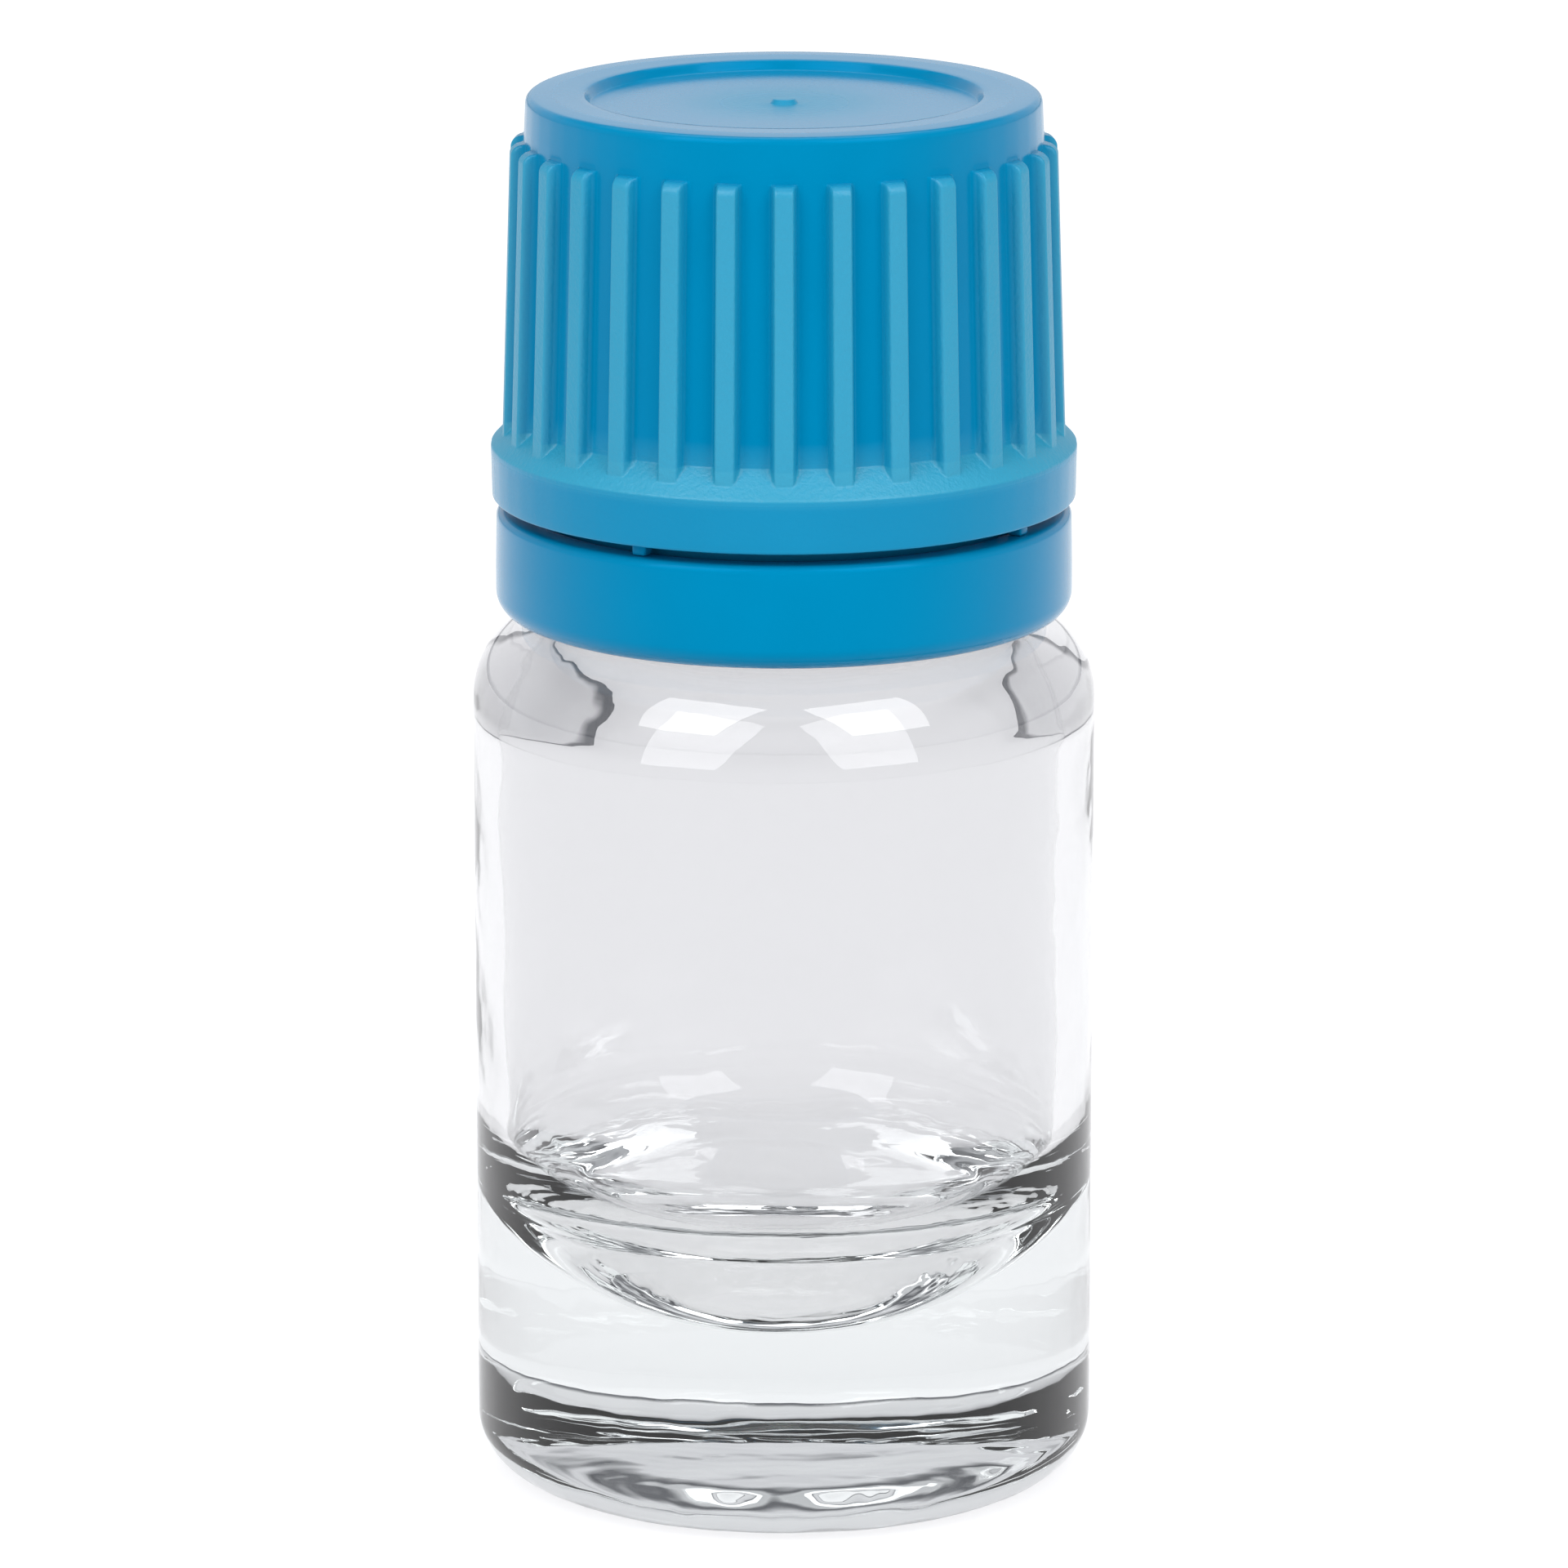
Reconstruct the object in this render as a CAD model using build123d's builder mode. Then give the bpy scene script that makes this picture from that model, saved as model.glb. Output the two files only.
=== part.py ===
from build123d import *
import os

# A 5 ml moulded-glass prescription vial with a drip insert and a tamper-evident screw cap.
# Millimetres. The origin is the centre of the base, on the surface that the vial stands on, and +Z
# is up along the neck. -Y is the front: one grip rib of the cap faces it.

# Glass body
body_radius = 11.0
heel_rounding = 1.9
shoulder_top = 31.2
shoulder_rounding = 3.0
wall_inner_radius = 9.85
inner_shoulder_top = 30.3
inner_shoulder_rounding = 3.2
bore_entry_rounding = 1.2
bowl_floor = 5.85
bowl_corner_radius = 4.49
bowl_rounding = 9.2
bowl_rim_radius = 7.45
bowl_rim_height = 9.64
bowl_rim_rounding = 1.2
wall_corner_height = 10.92
wall_corner_rounding = 3.6
dish_height = 0.8
dish_flat_radius = 4.2
dish_rounding = 5.0
foot_inner_radius = 7.6
foot_edge_rounding = 0.8

# Neck finish
neck_radius = 7.45
neck_root_rounding = 0.5
bore_radius = 5.0
lip_height = 46.7
lip_outer_rounding = 0.6
lip_inner_rounding = 0.4
bead_radius = 8.75
bead_bottom = 33.3
bead_land_bottom = 33.4
bead_land_top = 34.0
bead_top = 34.9
bead_rounding = 0.25

# Screw thread: one right-hand start, the same pitch on the neck and in the cap
thread_pitch = 3.0
crest_half_width = 0.35
root_half_width = 0.8
crest_rounding = 0.15
root_overlap = 0.15
neck_thread_radius = 8.25
neck_thread_start = 40.6
neck_thread_turns = 1.5
cap_thread_radius = 7.65
cap_thread_turns = 2.25
flank_offset = 1.2

# Screw cap
cap_top = 49.7
cap_bottom = 35.43
flange_bottom_radius = 10.28
flange_top_radius = 10.32
flange_top = 37.3
flange_rounding = 0.15
cone_top = 38.25
grip_foot_radius = 9.4
grip_top_radius = 9.1
collar_radius = 9.03
top_rounding = 0.55
recess_radius = 7.05
recess_floor_radius = 6.75
recess_depth = 0.3
recess_rounding = 0.1
gate_radius = 0.4
gate_height = 0.12
skirt_inner_radius = 8.4
skirt_mouth_chamfer = 0.25
spigot_radius = 8.85
spigot_bottom = 34.55
liner_seat_radius = 8.0
liner_seat_height = 1.0
ceiling_height = 48.4

# Grip ribs
rib_count = 30
rib_top = 48.1
rib_foot = 37.5
rib_top_radius = 9.59
rib_foot_radius = 9.91
rib_top_width = 0.75
rib_foot_width = 0.85
rib_root_depth = 0.2
rib_edge_rounding = 0.2
rib_end_rounding = 0.12
front_angle = -90

# Tamper ring and its bridges
ring_outer_radius = 10.17
ring_inner_radius = 9.05
ring_bottom = 31.25
ring_top = 34.98
ring_bottom_rounding = 0.85
ring_top_rounding = 0.3
ring_mouth_chamfer = 0.2
lug_count = 8
lug_arc = 26
lug_radius = 8.35
lug_foot = 31.9
lug_ramp_top = 32.5
lug_hook = 33.0
lug_root_top = 33.15
bridge_count = 4
bridge_first_angle = front_angle - 31
bridge_inner_radius = 9.2
bridge_outer_radius = 9.75
bridge_width = 0.55

# Drip insert
flange_radius = 6.9
insert_top = 47.6
flange_edge_rounding = 0.25
plug_radius = 4.98
plug_bottom = 39.2
plug_lead_in = 0.6
plug_inner_radius = 4.1
cup_mouth_radius = 4.3
cup_floor = 44.6
floor_underside = 43.6
cup_rounding = 0.4
spout_tip_radius = 1.2
spout_foot_radius = 1.5
spout_tip = 47.35
drip_bore_radius = 0.5
drip_tube_radius = 1.1
drip_tube_foot_radius = 1.3
drip_tube_bottom = 38.8
air_hole_radius = 0.35
air_hole_offset = 2.7
seal_bead_radius = 5.06
seal_bead_half_height = 0.4
seal_bead_heights = (41.4, 45.2)

# Cap liner
liner_radius = 7.9


def outline(*corners):
    """Closed loop of straight runs through (radius, height, rounding) corners."""
    points = [(radius, height) for radius, height, _ in corners]
    roundings = [rounding for _, _, rounding in corners]
    FilletPolyline(points, radius=roundings, close=True)


def thread_section(root_radius, crest_radius, middle_height):
    """Outline of a thread ridge, wide at its root and narrow at its crest."""
    outline(
        (root_radius, middle_height - root_half_width, 0),
        (crest_radius, middle_height - crest_half_width, crest_rounding),
        (crest_radius, middle_height + crest_half_width, crest_rounding),
        (root_radius, middle_height + root_half_width, 0),
    )


os.makedirs("parts", exist_ok=True)

# Glass bottle: dished base, thick bottom with a round bowl and a sloping ledge above it, round
# shoulder and threaded neck
neck_thread_height = neck_thread_turns * thread_pitch
with BuildPart() as glass_bottle:
    with BuildSketch(Plane.XZ):
        with BuildLine():
            outline(
                (0, dish_height, 0),
                (dish_flat_radius, dish_height, dish_rounding),
                (foot_inner_radius, 0, foot_edge_rounding),
                (body_radius, 0, heel_rounding),
                (body_radius, shoulder_top, shoulder_rounding),
                (neck_radius, shoulder_top, neck_root_rounding),
                (neck_radius, bead_bottom, 0),
                (bead_radius, bead_land_bottom, bead_rounding),
                (bead_radius, bead_land_top, bead_rounding),
                (neck_radius, bead_top, bead_rounding),
                (neck_radius, lip_height, lip_outer_rounding),
                (bore_radius, lip_height, lip_inner_rounding),
                (bore_radius, inner_shoulder_top, bore_entry_rounding),
                (wall_inner_radius, inner_shoulder_top, inner_shoulder_rounding),
                (wall_inner_radius, wall_corner_height, wall_corner_rounding),
                (bowl_rim_radius, bowl_rim_height, bowl_rim_rounding),
                (bowl_corner_radius, bowl_floor, bowl_rounding),
                (0, bowl_floor, 0),
            )
        make_face()
    revolve(axis=Axis.Z)
    with BuildLine():
        Helix(thread_pitch, neck_thread_height, neck_radius, center=(0, 0, neck_thread_start))
    with BuildSketch(Plane.XZ):
        with BuildLine():
            thread_section(neck_radius - root_overlap, neck_thread_radius, neck_thread_start)
        make_face()
    sweep(is_frenet=True)

# Drip insert: a plug with a drip tube, an air hole beside it and a cup around its spout
with BuildPart() as dropper_insert:
    with BuildSketch(Plane.XZ):
        with BuildLine():
            outline(
                (drip_bore_radius, spout_tip, 0),
                (spout_tip_radius, spout_tip, 0),
                (spout_foot_radius, cup_floor, cup_rounding),
                (plug_inner_radius, cup_floor, cup_rounding),
                (cup_mouth_radius, insert_top, 0),
                (flange_radius, insert_top, flange_edge_rounding),
                (flange_radius, lip_height, 0),
                (plug_radius, lip_height, 0),
                (plug_radius, plug_bottom + plug_lead_in, 0),
                (plug_inner_radius, plug_bottom, 0),
                (plug_inner_radius, floor_underside, cup_rounding),
                (drip_tube_foot_radius, floor_underside, cup_rounding),
                (drip_tube_radius, drip_tube_bottom, 0),
                (drip_bore_radius, drip_tube_bottom, 0),
            )
        make_face()
    revolve(axis=Axis.Z)
    with BuildSketch(Plane.XZ):
        for bead_height in seal_bead_heights:
            with BuildLine():
                Polyline(
                    (plug_inner_radius, bead_height - seal_bead_half_height),
                    (plug_radius, bead_height - seal_bead_half_height),
                    (seal_bead_radius, bead_height),
                    (plug_radius, bead_height + seal_bead_half_height),
                    (plug_inner_radius, bead_height + seal_bead_half_height),
                    close=True,
                )
            make_face()
    revolve(axis=Axis.Z)
    with Locations((air_hole_offset, 0, cup_floor)):
        Hole(air_hole_radius)

# One grip rib, deeper at its foot, where it runs into the cone
with BuildPart() as rib:
    for height, outer_radius, root_radius, width in (
        (rib_foot, rib_foot_radius, grip_foot_radius - rib_root_depth, rib_foot_width),
        (rib_top, rib_top_radius, grip_top_radius - rib_root_depth, rib_top_width),
    ):
        with BuildSketch(Plane.XY.offset(height)) as rib_section:
            with Locations((outer_radius, 0)):
                Rectangle(outer_radius - root_radius, width, align=(Align.MAX, Align.CENTER))
            fillet(rib_section.vertices().group_by(Axis.X)[-1], rib_edge_rounding)
    loft()
    fillet(rib.faces().sort_by(Axis.Z)[-1].edges(), rib_end_rounding)

# Screw cap: drafted skirt with ribs, cone and flange outside, thread and liner seat inside, and a
# spigot that reaches down behind the slit into the tamper ring
recess_floor = cap_top - recess_depth
seat_bottom = ceiling_height - liner_seat_height
cap_thread_start = neck_thread_start - flank_offset - thread_pitch
with BuildPart() as screw_cap:
    with BuildSketch(Plane.XZ):
        with BuildLine():
            outline(
                (skirt_inner_radius + skirt_mouth_chamfer, spigot_bottom, 0),
                (spigot_radius, spigot_bottom, 0),
                (spigot_radius, cap_bottom, 0),
                (flange_bottom_radius, cap_bottom, flange_rounding),
                (flange_top_radius, flange_top, flange_rounding),
                (grip_foot_radius, cone_top, flange_rounding),
                (grip_top_radius, rib_top, 0),
                (collar_radius, cap_top, top_rounding),
                (recess_radius, cap_top, recess_rounding),
                (recess_floor_radius, recess_floor, recess_rounding),
                (gate_radius, recess_floor, 0),
                (gate_radius, recess_floor + gate_height, 0),
                (0, recess_floor + gate_height, 0),
                (0, ceiling_height, 0),
                (liner_seat_radius, ceiling_height, 0),
                (liner_seat_radius, seat_bottom, 0),
                (skirt_inner_radius, seat_bottom - skirt_inner_radius + liner_seat_radius, 0),
                (skirt_inner_radius, spigot_bottom + skirt_mouth_chamfer, 0),
            )
        make_face()
    revolve(axis=Axis.Z)
    with BuildLine():
        Helix(
            thread_pitch,
            cap_thread_turns * thread_pitch,
            skirt_inner_radius,
            center=(0, 0, cap_thread_start),
        )
    with BuildSketch(Plane.XZ):
        with BuildLine():
            thread_section(skirt_inner_radius + root_overlap, cap_thread_radius, cap_thread_start)
        make_face()
    sweep(is_frenet=True)
    with PolarLocations(0, rib_count, start_angle=front_angle):
        add(rib.part)

# Liner: a flat sealing disc between the cap's ceiling and the insert's flange
with BuildPart() as cap_liner:
    with BuildSketch(Plane.XY.offset(insert_top)):
        Circle(liner_radius)
    extrude(amount=ceiling_height - insert_top)

# One snap lug of the tamper ring: a ramp below, and a hook above that catches the neck's bead
with BuildPart() as lug:
    with BuildSketch(Plane.XZ):
        with BuildLine():
            outline(
                (ring_inner_radius + root_overlap, lug_foot, 0),
                (lug_radius, lug_ramp_top, 0),
                (lug_radius, lug_hook, 0),
                (ring_inner_radius + root_overlap, lug_root_top, 0),
            )
        make_face()
    revolve(axis=Axis.Z, revolution_arc=lug_arc)

# Tamper ring: a plain band with snap lugs around its inside
with BuildPart() as tamper_ring:
    with BuildSketch(Plane.XZ):
        with BuildLine():
            outline(
                (ring_inner_radius + ring_mouth_chamfer, ring_bottom, 0),
                (ring_outer_radius, ring_bottom, ring_bottom_rounding),
                (ring_outer_radius, ring_top, ring_top_rounding),
                (ring_inner_radius, ring_top, 0),
                (ring_inner_radius, ring_bottom + ring_mouth_chamfer, 0),
            )
        make_face()
    revolve(axis=Axis.Z)
    with PolarLocations(0, lug_count):
        add(lug.part)

# Tamper bridges: small breakable blocks that join the ring to the cap's skirt
with BuildPart() as tamper_bridges:
    with BuildSketch(Plane.XY.offset(ring_top)):
        with PolarLocations(bridge_inner_radius, bridge_count, start_angle=bridge_first_angle):
            Rectangle(
                bridge_outer_radius - bridge_inner_radius,
                bridge_width,
                align=(Align.MIN, Align.CENTER),
            )
    extrude(amount=cap_bottom - ring_top)

for name, piece in (
    ("glass_bottle", glass_bottle),
    ("dropper_insert", dropper_insert),
    ("screw_cap", screw_cap),
    ("cap_liner", cap_liner),
    ("tamper_ring", tamper_ring),
    ("tamper_bridges", tamper_bridges),
):
    piece.part.label = name
    export_step(piece.part, f"parts/{name}.step")
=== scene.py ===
"""Looks of a small prescription vial: moulded clear glass, a drip insert, and a blue ribbed screw cap
with its liner, tamper ring and breakable bridges.

Every new piece is a surface of two parameters: an outline of radius and height, carried round the
vial's axis, with its radius changed by ribs, threads, lugs or waviness. Outlines are in millimetres and
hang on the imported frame's heights and radii. Meshes are in metres.
"""
import math

import bpy
import numpy as np
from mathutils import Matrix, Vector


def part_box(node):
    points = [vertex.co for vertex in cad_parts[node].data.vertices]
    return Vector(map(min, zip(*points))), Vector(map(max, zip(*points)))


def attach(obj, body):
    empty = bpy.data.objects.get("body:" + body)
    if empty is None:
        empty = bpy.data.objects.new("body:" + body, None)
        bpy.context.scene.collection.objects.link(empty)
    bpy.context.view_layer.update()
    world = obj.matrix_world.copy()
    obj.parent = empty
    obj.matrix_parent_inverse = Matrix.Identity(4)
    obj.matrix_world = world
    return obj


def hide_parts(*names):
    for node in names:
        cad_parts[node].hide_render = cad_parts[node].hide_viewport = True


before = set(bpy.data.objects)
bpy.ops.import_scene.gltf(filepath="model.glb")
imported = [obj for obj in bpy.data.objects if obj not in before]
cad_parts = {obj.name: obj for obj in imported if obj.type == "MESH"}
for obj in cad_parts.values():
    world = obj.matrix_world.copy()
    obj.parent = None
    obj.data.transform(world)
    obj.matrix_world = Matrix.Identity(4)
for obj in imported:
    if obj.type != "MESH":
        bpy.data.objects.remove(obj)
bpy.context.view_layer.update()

MM = 0.001
FULL_TURN = 2 * math.pi


def node_span(node):
    """(largest radius, lowest height, highest height) of a CAD node in millimetres."""
    low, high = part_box(node)
    return high.x / MM, low.z / MM, high.z / MM


GLASS_RADIUS, _, LIP = node_span("glass_bottle")
CAP_RADIUS, CAP_BOTTOM, CAP_TOP = node_span("screw_cap")
_, _, SLIT_TOP = node_span("tamper_bridges")
RING_RADIUS, RING_BOTTOM, RING_TOP = node_span("tamper_ring")
LINER_RADIUS, LINER_BOTTOM, LINER_TOP = node_span("cap_liner")
FLANGE_RADIUS, TUBE_BOTTOM, INSERT_TOP = node_span("dropper_insert")

# Neck and thread, shared by glass and cap
NECK_RADIUS = 7.45
BORE_RADIUS = 5.0
PITCH = 3.0
CREST_HALF_WIDTH = 0.3
ROOT_HALF_WIDTH = 0.8
NECK_THREAD_START = LIP - 6.1
NECK_THREAD_TURNS = 1.5
NECK_THREAD_DEPTH = 0.8
CAP_THREAD_START = NECK_THREAD_START - 1.2 - PITCH
CAP_THREAD_TURNS = 2.25
CAP_THREAD_DEPTH = 0.75
THREAD_FADE = 0.06

# Grip ribs
RIB_COUNT = 30
RIB_TOP = CAP_TOP - 1.6
RIB_END_ROUNDING = 0.4
RIB_ROOT_HALF_WIDTH = 0.47
RIB_CREST_HALF_WIDTH = 0.27
CONE_TOP = SLIT_TOP + 2.82
GRIP_TOP_RADIUS = 9.1
GRIP_FOOT_RADIUS = 9.4
RIB_TOP_RADIUS = 9.59
RIB_FOOT_RADIUS = 9.9
FRONT = -math.pi / 2


# ---------------------------------------------------------------- surfaces


def run_between(start, end, spacing):
    """Points of the straight run from start to end, without its ends, about spacing apart."""
    count = max(1, math.ceil(np.linalg.norm(end - start) / spacing))
    return np.linspace(start, end, count + 1)[1:-1]


def outline(corners, arc_step=0.12):
    """Points along an outline of (radius, height, rounding, spacing) corners. Each corner with a rounding
    becomes the arc of that radius that touches both its runs; spacing divides the run that leads to it."""
    table = np.array(corners, float)
    places = table[:, :2]
    rows = [places[:1]]
    for index in range(1, len(places) - 1):
        here, rounding, spacing = places[index], table[index, 2], table[index, 3]
        if not rounding:
            rows += [run_between(rows[-1][-1], here, spacing), here[None]]
            continue
        back, ahead = places[index - 1] - here, places[index + 1] - here
        back, ahead = back / np.linalg.norm(back), ahead / np.linalg.norm(ahead)
        half_angle = math.acos(np.clip(back @ ahead, -1, 1)) / 2
        turn = math.pi - 2 * half_angle
        reach = rounding / math.tan(half_angle)
        middle = (back + ahead) / np.linalg.norm(back + ahead)
        centre = here + middle * rounding / math.sin(half_angle)
        start, end = here + back * reach, here + ahead * reach
        share = np.linspace(0, 1, max(3, math.ceil(turn * rounding / arc_step) + 1))[:, None]
        arc = np.sin((1 - share) * turn) * (start - centre) + np.sin(share * turn) * (end - centre)
        rows.append(run_between(rows[-1][-1], start, spacing))
        rows.append(centre + arc / math.sin(turn))
    rows.append(run_between(rows[-1][-1], places[-1], table[-1, 3]))
    rows.append(places[-1:])
    points = np.concatenate(rows)
    return points[:, :1], points[:, 1:]


def even_angles(count):
    """count angles round the axis, in one row."""
    return np.arange(count)[None] * FULL_TURN / count


def smooth_step(value, low, high):
    """0 below low, 1 above high, and an S-curve between."""
    share = np.clip((value - low) / (high - low), 0, 1)
    return share * share * (3 - 2 * share)


def thread_ridge(height, angle, start, turns, depth):
    """Height of a thread ridge at each point: the nearest turn of a helix that climbs one pitch a turn,
    full depth on its crest, an S-curve down each flank, and faded out over its first and last degrees."""
    around = (angle % FULL_TURN) / FULL_TURN
    turn = around + np.round((height - start) / PITCH - around)
    off = np.abs(height - start - PITCH * turn)
    flank = smooth_step(-off, -ROOT_HALF_WIDTH, -CREST_HALF_WIDTH)
    ends = smooth_step(turn, 0, THREAD_FADE) * smooth_step(-turn, -turns, THREAD_FADE - turns)
    return depth * flank * ends


def place_round(radius, height, angle, shift_x=0.0):
    """Points in millimetres at a radius, height and angle round the axis."""
    radius, height, angle = np.broadcast_arrays(radius, height, angle)
    return np.stack([radius * np.cos(angle) + shift_x, radius * np.sin(angle), height], axis=-1)


def grid_faces(rows, columns, first, wrap_rows):
    """Quads of a grid of vertices whose columns close round the axis, and whose rows may close too."""
    row = np.arange(rows if wrap_rows else rows - 1)[:, None]
    column = np.arange(columns)[None]
    next_row, next_column = (row + 1) % rows, (column + 1) % columns
    corners = [
        first + row * columns + column,
        first + row * columns + next_column,
        first + next_row * columns + next_column,
        first + next_row * columns + column,
    ]
    return np.stack(np.broadcast_arrays(*corners), axis=-1).reshape(-1, 4)


def signed_volume(points, faces):
    """Volume inside the faces, positive when they face outwards."""
    a, b, c = (points[faces[:, corner]] for corner in (0, 1, 2))
    return np.einsum("ij,ij->i", a, np.cross(b, c)).sum() / 6


def build_mesh(name, points, quads, triangles):
    """A smooth mesh in metres from points in millimetres, with its faces turned outwards."""
    halves = np.concatenate([quads[:, [0, 1, 2]], quads[:, [0, 2, 3]], triangles])
    if signed_volume(points, halves) < 0:
        quads, triangles = quads[:, ::-1], triangles[:, ::-1]
    mesh = bpy.data.meshes.new(name)
    mesh.from_pydata((points * MM).tolist(), [], quads.tolist() + triangles.tolist())
    mesh.shade_smooth()
    return mesh


def turned_piece(name, places, closed=False):
    """A piece from places[row, column]. An open outline starts and ends on the axis, where each end row
    becomes one point with a fan of triangles. A closed outline joins its last row to its first."""
    rows, columns = places.shape[:2]
    if closed:
        points = places.reshape(-1, 3)
        quads, fans = grid_faces(rows, columns, 0, True), np.zeros((0, 3), int)
    else:
        inner = places[1:-1].reshape(-1, 3)
        points = np.concatenate([places[:1, 0], inner, places[-1:, 0]])
        quads = grid_faces(rows - 2, columns, 1, False)
        column = np.arange(columns)
        after = (column + 1) % columns
        last = len(points) - 1
        near, far = 1 + column, last - columns + column
        near_after, far_after = 1 + after, last - columns + after
        first_fan = np.stack([np.zeros_like(column), near_after, near], axis=-1)
        last_fan = np.stack([np.full_like(column, last), far, far_after], axis=-1)
        fans = np.concatenate([first_fan, last_fan])
    mesh = build_mesh(name, points, quads, fans)
    piece = bpy.data.objects.new(name, mesh)
    bpy.context.scene.collection.objects.link(piece)
    return piece


def vertex_values(grid):
    """Values of grid[row, column] in the order in which turned_piece lays out an open outline's points."""
    return np.concatenate([grid[:1, 0], grid[1:-1].reshape(-1), grid[-1:, 0]])


def give(piece, body, material, node):
    """Puts a piece on its body, in place of its CAD node, with its material."""
    piece.data.materials.append(material)
    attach(piece, body)
    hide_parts(node)


# ---------------------------------------------------------------- materials


def linear(colour):
    """sRGB hex colour as linear RGBA."""
    channels = [int(colour[i : i + 2], 16) / 255 for i in (0, 2, 4)]
    return [c / 12.92 if c <= 0.04045 else ((c + 0.055) / 1.055) ** 2.4 for c in channels] + [1.0]


def per_metre(size_mm):
    """Texture scale that makes a pattern's features about size_mm across on Object coordinates."""
    return 1 / (size_mm * MM)


def add(material, kind, settings=None, **inputs):
    """Adds a node, sets its own properties, and fills its sockets with values or other nodes' outputs."""
    tree = material.node_tree
    made = tree.nodes.new(kind)
    for key, value in (settings or {}).items():
        setattr(made, key, value)
    for key, value in inputs.items():
        socket = made.inputs[int(key[1:])] if key[0] == "_" else made.inputs[key.replace("_", " ")]
        if isinstance(value, bpy.types.NodeSocket):
            tree.links.new(value, socket)
        else:
            socket.default_value = value
    return made


def new_material(name):
    """An empty node material and its output node."""
    material = bpy.data.materials.new(name)
    material.use_nodes = True
    material.node_tree.nodes.clear()
    return material, add(material, "ShaderNodeOutputMaterial")


def finish_material(material, output, surface, volume=None):
    """Links the finished shader to the output."""
    material.node_tree.links.new(surface.outputs[0], output.inputs["Surface"])
    if volume:
        material.node_tree.links.new(volume.outputs[0], output.inputs["Volume"])
    return material


def moulded_glass():
    """Soda-lime glass, blown in an iron mould: clear, faintly grey at its skin and green through its thick
    base, with a gentle orange peel and cold-mould ripple, and a coarser stipple under its foot."""
    material, output = new_material("moulded_soda_lime_glass")
    coordinates = add(material, "ShaderNodeTexCoord").outputs["Object"]
    peel = add(material, "ShaderNodeTexNoise", Vector=coordinates, Scale=per_metre(2.2), Detail=1.0)
    ripple = add(material, "ShaderNodeTexNoise", Vector=coordinates, Scale=per_metre(0.7), Detail=0.0)
    height = add(
        material, "ShaderNodeMath", {"operation": "MULTIPLY_ADD"},
        _0=ripple.outputs["Fac"], _1=0.12, _2=peel.outputs["Fac"],
    )
    bump = add(material, "ShaderNodeBump", Height=height.outputs[0], Strength=0.25, Distance=0.00006)
    up = add(material, "ShaderNodeSeparateXYZ", Vector=coordinates).outputs["Z"]
    foot = add(
        material, "ShaderNodeMapRange", Value=up,
        From_Min=1.5 * MM, From_Max=0.3 * MM, To_Min=0.0, To_Max=0.6,
    )
    stipple = add(material, "ShaderNodeTexNoise", Vector=coordinates, Scale=per_metre(3.0), Detail=1.5)
    bump = add(
        material, "ShaderNodeBump", Height=stipple.outputs["Fac"], Strength=foot.outputs[0],
        Distance=0.0008, Normal=bump.outputs["Normal"],
    )
    shader = add(
        material, "ShaderNodeBsdfPrincipled",
        Base_Color=linear("EAEAEB"), Roughness=0.0, IOR=1.52, Transmission_Weight=1.0,
        Normal=bump.outputs["Normal"],
    )
    tint = add(material, "ShaderNodeVolumeAbsorption", Color=linear("CDE4DE"), Density=8.0)
    return finish_material(material, output, shader, tint)


def blue_polypropylene():
    """Injection-moulded polypropylene, dyed through: grained by the spark-eroded mould where the frost
    attribute is 1, and satin where it is 0. The same attribute paints the base colour lighter and greyer:
    a painted sheen, standing for the soft reflection of the front lights on the grained faces."""
    material, output = new_material("injection_moulded_polypropylene")
    coordinates = add(material, "ShaderNodeTexCoord").outputs["Object"]
    frost_and_painted_sheen = add(material, "ShaderNodeAttribute", {"attribute_name": "frost_and_painted_sheen"}).outputs["Fac"]
    cloud = add(material, "ShaderNodeTexNoise", Vector=coordinates, Scale=per_metre(3.0), Detail=2.0)
    grain = add(material, "ShaderNodeTexNoise", Vector=coordinates, Scale=per_metre(0.16), Detail=2.0)
    colour = add(
        material, "ShaderNodeMix", {"data_type": "RGBA"},
        _0=cloud.outputs["Fac"], _6=linear("00769F"), _7=linear("007BA6"),
    )
    # painted sheen: where the frost attribute rises, the base colour turns to a lighter, greyer 1E8CAC that
    # stands for the soft reflection of the lights on grained faces
    colour_with_painted_sheen = add(
        material, "ShaderNodeMix", {"data_type": "RGBA"},
        _0=frost_and_painted_sheen, _6=colour.outputs[2], _7=linear("1E8CAC"),
    )
    sheen = add(
        material, "ShaderNodeMix", {"data_type": "RGBA"},
        _0=frost_and_painted_sheen, _6=linear("0077B0"), _7=linear("FFFFFF"),
    )
    roughness = add(material, "ShaderNodeMapRange", Value=frost_and_painted_sheen, To_Min=0.17, To_Max=0.45)
    strength = add(material, "ShaderNodeMapRange", Value=frost_and_painted_sheen, To_Min=0.04, To_Max=0.9)
    bump = add(
        material, "ShaderNodeBump",
        Height=grain.outputs["Fac"], Strength=strength.outputs[0], Distance=0.00003,
    )
    shader = add(
        material, "ShaderNodeBsdfPrincipled",
        Base_Color=colour_with_painted_sheen.outputs[2], Roughness=roughness.outputs[0], IOR=1.49,
        Specular_Tint=sheen.outputs[2], Normal=bump.outputs["Normal"],
    )
    return finish_material(material, output, shader)


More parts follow.
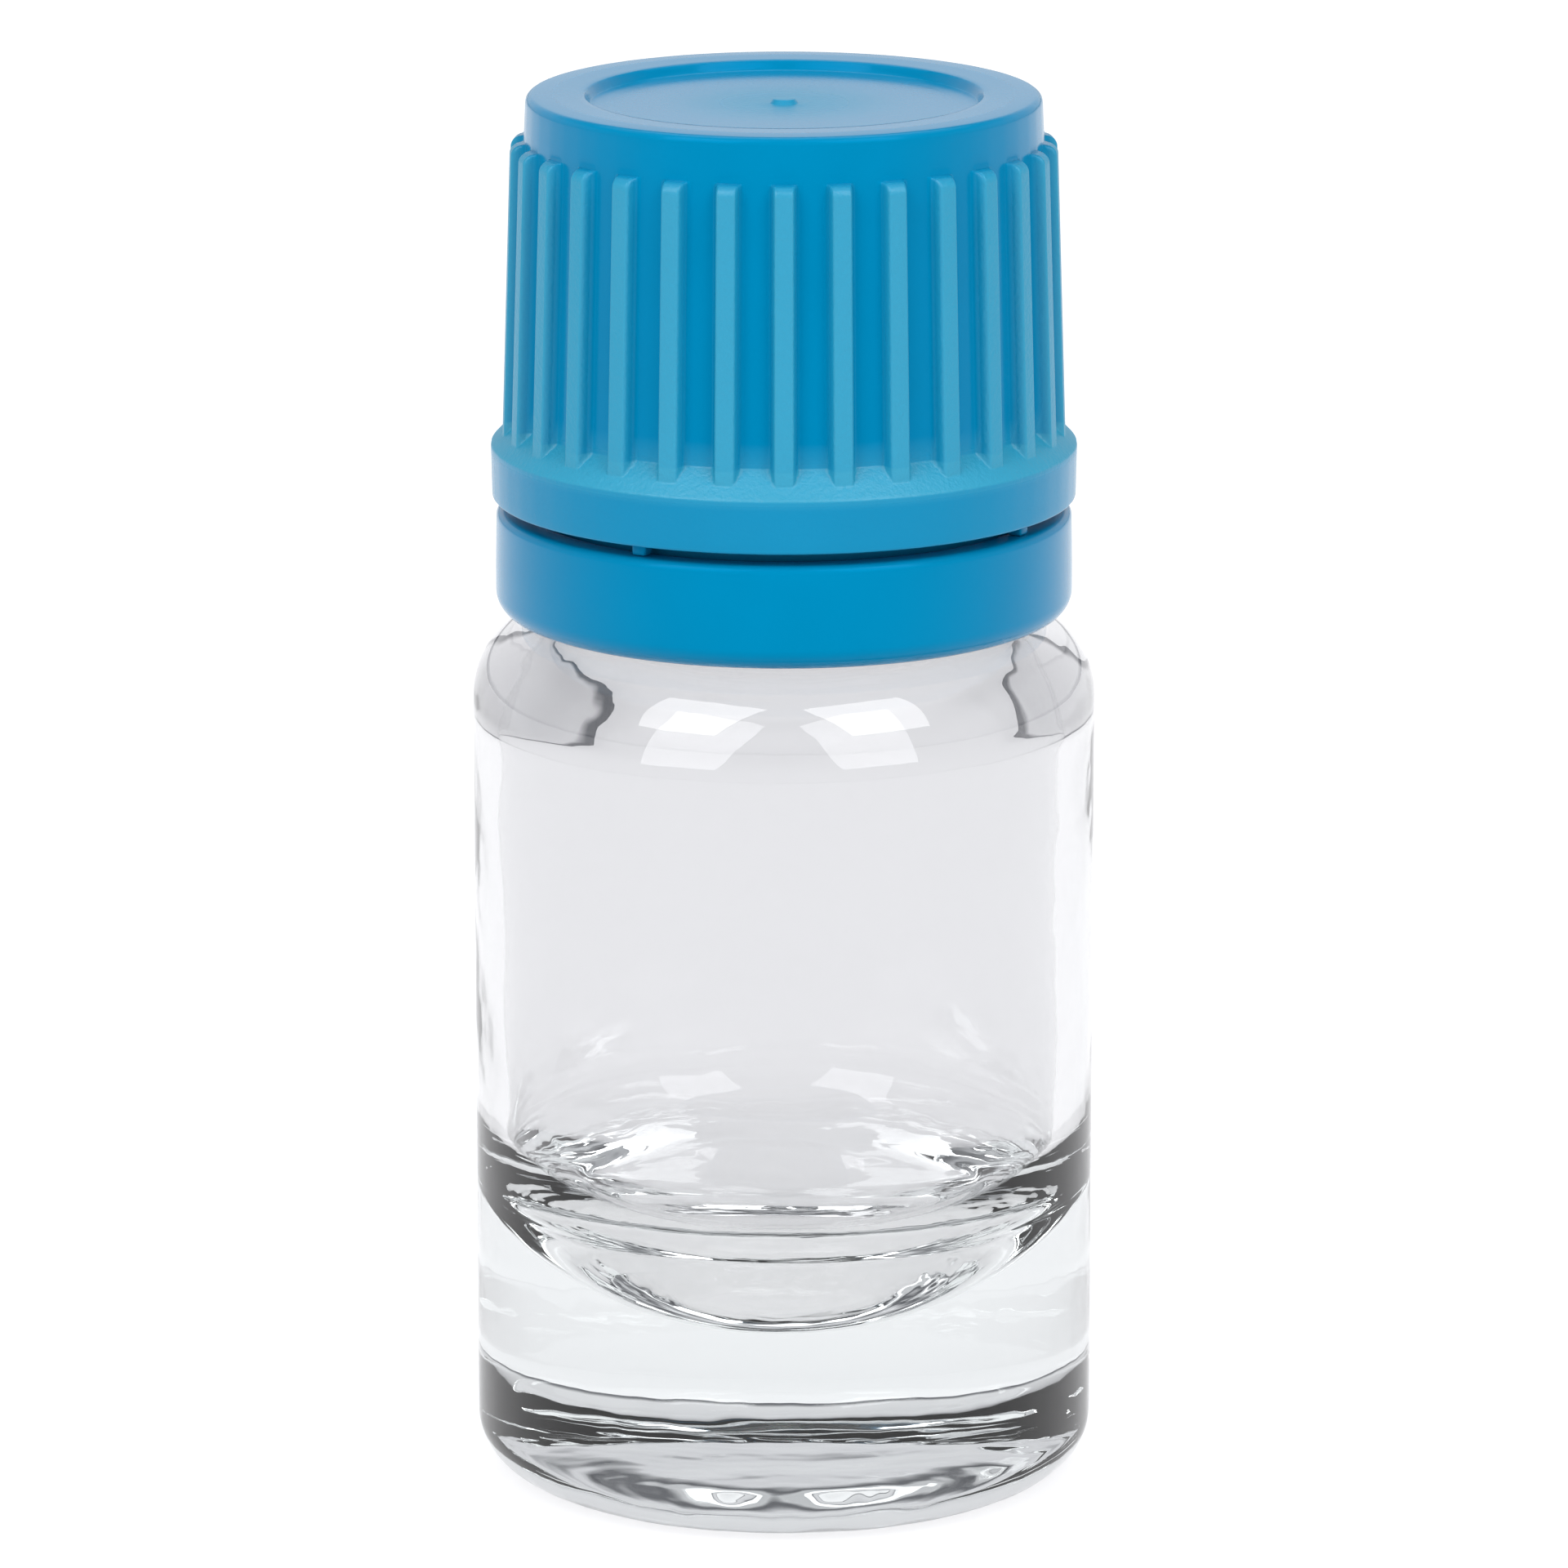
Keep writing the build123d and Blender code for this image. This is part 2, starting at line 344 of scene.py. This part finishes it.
def natural_polyethylene():
    """Low-density polyethylene, moulded with no dye: milky, soft sheen, light passes a little way in."""
    material, output = new_material("natural_low_density_polyethylene")
    coordinates = add(material, "ShaderNodeTexCoord").outputs["Object"]
    cloud = add(material, "ShaderNodeTexNoise", Vector=coordinates, Scale=per_metre(1.5), Detail=2.0)
    colour = add(
        material, "ShaderNodeMix", {"data_type": "RGBA"},
        _0=cloud.outputs["Fac"], _6=linear("DDE0DE"), _7=linear("EBEDEB"),
    )
    bump = add(material, "ShaderNodeBump", Height=cloud.outputs["Fac"], Strength=0.1, Distance=0.00003)
    shader = add(
        material, "ShaderNodeBsdfPrincipled",
        Base_Color=colour.outputs[2], Roughness=0.38, IOR=1.51, Subsurface_Weight=0.3,
        Subsurface_Scale=0.001, Normal=bump.outputs["Normal"],
    )
    return finish_material(material, output, shader)


def foamed_polyethylene():
    """Foamed polyethylene sheet, stamped to a disc: white and matte, with fine closed cells."""
    material, output = new_material("foamed_polyethylene_sheet")
    coordinates = add(material, "ShaderNodeTexCoord").outputs["Object"]
    cells = add(material, "ShaderNodeTexVoronoi", Vector=coordinates, Scale=per_metre(0.3))
    colour = add(
        material, "ShaderNodeMix", {"data_type": "RGBA"},
        _0=cells.outputs["Distance"], _6=linear("E4E4E2"), _7=linear("F4F4F2"),
    )
    bump = add(material, "ShaderNodeBump", Height=cells.outputs["Distance"], Strength=0.3, Distance=0.00003)
    shader = add(
        material, "ShaderNodeBsdfPrincipled",
        Base_Color=colour.outputs[2], Roughness=0.7, IOR=1.5, Normal=bump.outputs["Normal"],
    )
    return finish_material(material, output, shader)


# ---------------------------------------------------------------- the vial's pieces


def glass_bottle(material):
    """The glass: one closed skin that runs from the dished base up the outside, over the lip and down
    the bore, over a sloping ledge and into the bowl. The neck carries the thread ridge. The inner wall,
    shaped by air and not by the mould, is shifted a little off centre, and its radius wanders by a few
    hundredths of a millimetre: the sum of three sines of angle and height."""
    bowl_floor, wall_radius, dish_height = 5.85, 9.85, 0.8
    shoulder, inner_shoulder, bead_radius = 31.2, 30.3, 8.75
    corners = [
        (0, dish_height, 0, 0.5),
        (4.2, dish_height, 5.0, 0.5),
        (7.6, 0, 0.8, 0.5),
        (GLASS_RADIUS, 0, 1.9, 0.5),
        (GLASS_RADIUS, shoulder, 3.0, 0.8),
        (NECK_RADIUS, shoulder, 0.5, 0.5),
        (NECK_RADIUS, 33.3, 0.1, 0.5),
        (bead_radius, 33.4, 0.25, 0.5),
        (bead_radius, 34.0, 0.25, 0.5),
        (NECK_RADIUS, 34.9, 0.25, 0.5),
        (NECK_RADIUS, LIP, 0.6, 0.14),
        (BORE_RADIUS, LIP, 0.4, 0.5),
        (BORE_RADIUS, inner_shoulder, 1.2, 1.0),
        (wall_radius, inner_shoulder, 3.2, 0.5),
        (wall_radius, 10.92, 3.6, 0.5),
        (7.45, 9.64, 1.2, 0.3),
        (4.49, bowl_floor, 9.2, 0.3),
        (0, bowl_floor, 0, 0.4),
    ]
    radius, height = outline(corners, 0.2)
    angle = even_angles(256)
    row = np.arange(len(radius))[:, None]
    lip_row = int(np.argmax(height))
    outside = (row < lip_row) & (height > 35)
    radius = radius + outside * thread_ridge(
        height, angle, NECK_THREAD_START, NECK_THREAD_TURNS, NECK_THREAD_DEPTH
    )
    blown = (row > lip_row) * smooth_step(radius, BORE_RADIUS, 9.0) * smooth_step(-height, -29, -23)
    wander = (
        0.022 * np.sin(2 * angle + 0.30 * height + 0.6)
        + 0.018 * np.sin(3 * angle - 0.45 * height + 2.1)
        + 0.008 * np.sin(7 * angle + 0.9 * height)
    )
    shift = -0.12 * (row > lip_row) * smooth_step(-height, -31, -27) * smooth_step(radius, 0, 3)
    places = place_round(radius + blown * wander, height, angle, shift)
    piece = turned_piece("vial_glass", places)
    give(piece, "bottle", material, "glass_bottle")


def rib_angles():
    """Column angles for the cap: close together on the flanks of each rib and wide apart in the grooves."""
    half = np.array([0, 0.25, 0.28, 0.32, 0.36, 0.41, 0.47, 0.6])
    spread = np.concatenate([-half[:0:-1], half])
    pitch = FULL_TURN / RIB_COUNT
    middle = FRONT + np.arange(RIB_COUNT)[:, None] * pitch
    return (middle + spread / GRIP_FOOT_RADIUS).reshape(1, -1)


def screw_cap(material):
    """The cap: one closed skin over the top, down the ribbed outside, round the flange and up the
    threaded inside. A rib is a quarter-sine bump across its width, straight along its length, rounded
    off at its top end; at its foot the cone swallows it. The frost attribute is 1 where the mould is
    grained (cone, nearly so on each rib), less on the flange, and 0 where it is satin; through it the
    material also paints these grained faces a lighter colour, a painted sheen. Round the gate it is raised
    to a half only as a painted sheen: the cloudy reflection of the light on the top, drawn as a lighter,
    rougher patch."""
    ceiling, recess_floor, flange_top = LINER_TOP, CAP_TOP - 0.36, SLIT_TOP + 1.87
    spigot_radius, skirt_radius, seat_radius = 8.85, 8.4, 8.0
    corners = [
        (0, CAP_TOP - 0.2, 0, 0.2),
        (0.38, CAP_TOP - 0.21, 0.05, 0.2),
        (0.5, recess_floor, 0.05, 0.2),
        (6.78, recess_floor, 0.07, 0.8),
        (6.98, CAP_TOP - 0.03, 0.1, 0.2),
        (8.1, CAP_TOP, 4.0, 0.3),
        (9.03, CAP_TOP - 0.03, 0.28, 0.3),
        (GRIP_TOP_RADIUS, RIB_TOP, 0.05, 0.3),
        (GRIP_TOP_RADIUS + 0.012, RIB_TOP - 0.45, 0, 0.06),
        (GRIP_FOOT_RADIUS, CONE_TOP, 0.08, 0.9),
        (CAP_RADIUS, flange_top, 0.14, 0.06),
        (CAP_RADIUS - 0.04, SLIT_TOP, 0.1, 0.3),
        (spigot_radius, SLIT_TOP, 0.04, 0.3),
        (spigot_radius, CAP_BOTTOM, 0.05, 0.3),
        (8.65, CAP_BOTTOM, 0.05, 0.1),
        (skirt_radius, CAP_BOTTOM + 0.25, 0.05, 0.1),
        (skirt_radius, ceiling - 1.4, 0.08, 0.2),
        (seat_radius, ceiling - 1.0, 0.08, 0.3),
        (seat_radius, ceiling, 0.12, 0.4),
        (0, ceiling, 0, 1.0),
    ]
    radius, height = outline(corners, 0.05)
    angle = rib_angles()
    row = np.arange(len(radius))[:, None]
    mouth_row = int(np.argmin(height))
    outside = row < mouth_row
    on_top = row < mouth_row / 2
    along = np.clip((RIB_TOP - height) / (RIB_TOP - CONE_TOP), 0, 1.2)
    groove = GRIP_TOP_RADIUS + (GRIP_FOOT_RADIUS - GRIP_TOP_RADIUS) * along
    crest = RIB_TOP_RADIUS + (RIB_FOOT_RADIUS - RIB_TOP_RADIUS) * along
    pitch = FULL_TURN / RIB_COUNT
    off = np.abs((angle - FRONT + pitch / 2) % pitch - pitch / 2) * GRIP_FOOT_RADIUS
    reach = (RIB_ROOT_HALF_WIDTH - off) / (RIB_ROOT_HALF_WIDTH - RIB_CREST_HALF_WIDTH)
    bump = np.sin(np.clip(reach, 0, 1) * math.pi / 2)
    into_end = np.clip((height - RIB_TOP + RIB_END_ROUNDING) / RIB_END_ROUNDING, 0, 1)
    end = np.sqrt(1 - into_end**2)
    ribbed = groove + (crest - groove) * bump * end
    on_grip = outside & (height < RIB_TOP) & (height > SLIT_TOP + 1.9)
    skin = np.where(on_grip, np.maximum(radius, ribbed), radius)
    inside = ~outside & (height < ceiling - 1.4)
    skin = skin - inside * thread_ridge(height, angle, CAP_THREAD_START, CAP_THREAD_TURNS, CAP_THREAD_DEPTH)
    piece = turned_piece("cap_shell", place_round(skin, height, angle))
    cone = smooth_step(-height, -CONE_TOP - 0.1, -CONE_TOP + 0.05)
    flange = smooth_step(-height, -SLIT_TOP - 1.9, -SLIT_TOP - 1.75)
    # painted sheen round the gate: half frost, which lightens the colour there to stand for the cloudy
    # reflection of the light on the top
    gate_frost_and_painted_sheen = on_top * 0.5 * smooth_step(-radius, -5.2, -0.8)
    grip = 0.85 * on_grip * bump * end
    # the frost value also paints the grained faces a lighter colour: painted sheen on the cone, the rib
    # crests and, more faintly, the flange
    frost_and_painted_sheen = outside * np.maximum(grip, cone - 0.8 * flange + gate_frost_and_painted_sheen)
    values = vertex_values(np.broadcast_to(frost_and_painted_sheen, skin.shape))
    frost_layer = piece.data.attributes.new("frost_and_painted_sheen", "FLOAT", "POINT")
    frost_layer.data.foreach_set("value", values.astype(np.float32))
    give(piece, "cap", material, "screw_cap")


def tamper_ring(material):
    """The tamper ring: a closed band with a rounded lower edge and eight snap lugs inside, each an S-curve
    wide, with a ramp below and a hook above."""
    inner, lug_reach, lug_count = 9.05, 0.7, 8
    low, high = RING_BOTTOM, RING_TOP
    corners = [
        (RING_RADIUS, low + 1.7, 0, 0.3),
        (RING_RADIUS - 0.03, high, 0.3, 0.3),
        (inner, high, 0.1, 0.3),
        (inner, high - 1.8, 0, 0.3),
        (inner, low + 0.2, 0.05, 0.08),
        (inner + 0.15, low, 0.05, 0.1),
        (RING_RADIUS, low, 0.82, 0.2),
        (RING_RADIUS, low + 1.7, 0, 0.3),
    ]
    radius, height = (values[:-1] for values in outline(corners, 0.06))
    angle = even_angles(320)
    pitch = FULL_TURN / lug_count
    off = np.abs((angle - FULL_TURN / 36 + pitch / 2) % pitch - pitch / 2)
    across = smooth_step(-off, -0.24, -0.18)
    ramp = np.clip((height - low - 0.4) / 0.6, 0, 1) * smooth_step(-height, -low - 1.65, -low - 1.5)
    inside = radius < inner + 0.05
    skin = radius - inside * lug_reach * across * ramp
    piece = turned_piece("tamper_band", place_round(skin, height, angle), closed=True)
    give(piece, "ring", material, "tamper_ring")


def tamper_bridges(material):
    """The four bridges: rounded blocks, each a superellipsoid of two angles, squared off by its power, that
    fills the slit from ring to cap."""
    low, high = RING_TOP, SLIT_TOP
    bridge_radius, half_width = 9.48, 0.28
    half = np.array([half_width, half_width, (high - low) / 2])
    middle = np.array([bridge_radius, 0, (low + high) / 2])
    first = FRONT - math.radians(31)
    tilt = np.linspace(-math.pi / 2, math.pi / 2, 15)[:, None]
    turn = even_angles(24)

    def squared(value):
        return np.sign(value) * np.abs(value) ** 0.35

    block = np.stack(
        np.broadcast_arrays(
            squared(np.cos(tilt)) * squared(np.cos(turn)),
            squared(np.cos(tilt)) * squared(np.sin(turn)),
            squared(np.sin(tilt)),
        ),
        axis=-1,
    ) * half + middle
    for number in range(4):
        angle = first + number * FULL_TURN / 4
        spin = np.array(
            [[math.cos(angle), math.sin(angle), 0], [-math.sin(angle), math.cos(angle), 0], [0, 0, 1]]
        )
        piece = turned_piece(f"bridge_{number + 1}", block @ spin)
        give(piece, "ring", material, "tamper_bridges")


def drip_insert(material):
    """The drip insert: a closed outline down the spout's bore, out under the plug and back over its flange
    and cup."""
    drip_bore, plug_inner, plug_outer = 0.5, 4.1, 4.98
    cup_floor, cup_underside = LIP - 2.1, LIP - 3.1
    corners = [
        (drip_bore, INSERT_TOP - 4, 0, 0.5),
        (drip_bore, TUBE_BOTTOM, 0.05, 0.5),
        (1.1, TUBE_BOTTOM, 0.1, 0.3),
        (1.3, cup_underside, 0.4, 0.5),
        (plug_inner, cup_underside, 0.4, 0.5),
        (plug_inner, TUBE_BOTTOM + 0.4, 0.08, 0.5),
        (plug_outer, TUBE_BOTTOM + 1.0, 0.2, 0.3),
        (plug_outer, LIP, 0.05, 0.5),
        (FLANGE_RADIUS, LIP, 0.1, 0.4),
        (FLANGE_RADIUS, INSERT_TOP, 0.25, 0.3),
        (4.3, INSERT_TOP, 0.12, 0.4),
        (plug_inner, cup_floor, 0.4, 0.4),
        (1.5, cup_floor, 0.35, 0.4),
        (1.2, INSERT_TOP - 0.25, 0.12, 0.4),
        (drip_bore, INSERT_TOP - 0.25, 0.08, 0.2),
        (drip_bore, INSERT_TOP - 4, 0, 0.5),
    ]
    radius, height = (values[:-1] for values in outline(corners, 0.08))
    places = place_round(radius, height, even_angles(96))
    piece = turned_piece("drip_plug", places, closed=True)
    give(piece, "bottle", material, "dropper_insert")


def cap_liner(material):
    """The liner: a disc with a rounded rim and the faint round dent that the insert's flange leaves."""
    low, high = LINER_BOTTOM, LINER_TOP
    corners = [
        (0, low, 0, 0.5),
        (LINER_RADIUS, low, 0.15, 0.4),
        (LINER_RADIUS, high, 0.15, 0.3),
        (0, high, 0, 0.5),
    ]
    radius, height = outline(corners, 0.05)
    dent = 0.05 * smooth_step(radius, 4.2, 4.6) * smooth_step(-radius, -6.9, -6.5)
    height = height + dent * (height < low + 0.01)
    piece = turned_piece("liner_disc", place_round(radius, height, even_angles(128)))
    give(piece, "liner", material, "cap_liner")


# ---------------------------------------------------------------- studio


def studio_floor():
    """A wide sheet of opal acrylic, lit from below, just under the vial's foot."""
    size, gap = 6.0, 0.00001
    mesh = bpy.data.meshes.new("floor")
    corners = [(-size, -size, -gap), (size, -size, -gap), (size, size, -gap), (-size, size, -gap)]
    mesh.from_pydata(corners, [], [(0, 1, 2, 3)])
    floor = bpy.data.objects.new("floor", mesh)
    bpy.context.scene.collection.objects.link(floor)
    material, output = new_material("backlit_opal_acrylic")
    shader = add(
        material, "ShaderNodeBsdfPrincipled",
        Base_Color=linear("8C8C8C"), Roughness=0.8, Emission_Color=linear("F6F6F8"), Emission_Strength=0.86,
    )
    floor.data.materials.append(finish_material(material, output, shader))


def softbox(name, azimuth, elevation, distance, width, height, power):
    """A soft area light that faces the vial's middle."""
    light = bpy.data.lights.new(name, "AREA")
    light.shape, light.size, light.size_y, light.energy = "RECTANGLE", width, height, power
    lamp = bpy.data.objects.new(name, light)
    bpy.context.scene.collection.objects.link(lamp)
    azimuth, elevation = math.radians(azimuth), math.radians(elevation)
    aim = CAP_TOP * MM / 2
    lamp.location = (
        distance * math.cos(elevation) * math.sin(azimuth),
        -distance * math.cos(elevation) * math.cos(azimuth),
        aim + distance * math.sin(elevation),
    )
    lamp.rotation_euler = (math.pi / 2 - elevation, 0, azimuth)


def studio_world():
    """A pale room: bright walls all round, a dim strip at the horizon and one high up, where wall meets
    ceiling. Its left and right sides are a little dimmer than its front and back."""
    world = bpy.data.worlds.new("studio")
    bpy.context.scene.world = world
    world.use_nodes = True
    world.node_tree.nodes.clear()
    direction = add(world, "ShaderNodeTexCoord").outputs["Generated"]
    parts = add(world, "ShaderNodeSeparateXYZ", Vector=direction)
    ramp = add(world, "ShaderNodeValToRGB", Fac=parts.outputs["Z"])
    bands = (
        (0.0, "6A6C72"), (0.02, "6A6C72"), (0.05, "F2F2F5"), (0.4, "E2E2E6"),
        (0.62, "5A5C62"), (0.68, "5A5C62"), (0.74, "D4D5D8"), (1.0, "D8D9DC"),
    )
    for number, (height, colour) in enumerate(bands):
        element = ramp.color_ramp.elements[number] if number < 2 else ramp.color_ramp.elements.new(height)
        element.position, element.color = height, linear(colour)
    side = parts.outputs["X"]
    aside = add(world, "ShaderNodeMath", {"operation": "MULTIPLY"}, _0=side, _1=side)
    dim = add(world, "ShaderNodeMapRange", Value=aside.outputs[0], To_Min=1.0, To_Max=0.85)
    background = add(world, "ShaderNodeBackground", Color=ramp.outputs["Color"], Strength=dim.outputs[0])
    output = add(world, "ShaderNodeOutputWorld")
    world.node_tree.links.new(background.outputs[0], output.inputs["Surface"])


def studio_camera():
    """A long lens that looks 13.8 degrees down at the vial's middle."""
    pitch, distance = math.radians(13.8), 0.348
    data = bpy.data.cameras.new("camera")
    data.lens, data.sensor_width = 225, 36
    camera = bpy.data.objects.new("camera", data)
    bpy.context.scene.collection.objects.link(camera)
    aim = CAP_TOP * MM / 2
    camera.location = (0, -distance * math.cos(pitch), aim + distance * math.sin(pitch))
    camera.rotation_euler = (math.pi / 2 - pitch, 0, 0)
    data.clip_start, data.clip_end = 0.01, 50
    bpy.context.scene.camera = camera


blue = blue_polypropylene()
glass_bottle(moulded_glass())
screw_cap(blue)
tamper_ring(blue)
tamper_bridges(blue)
drip_insert(natural_polyethylene())
cap_liner(foamed_polyethylene())
studio_floor()
studio_world()
studio_camera()
softbox("left_softbox", -42, 44, 0.8, 0.45, 0.6, 3.7)
softbox("right_softbox", 42, 44, 0.8, 0.45, 0.6, 3.7)
softbox("top_softbox", 180, 70, 0.9, 0.7, 0.5, 1.1)
bpy.context.scene.view_settings.view_transform = "Standard"
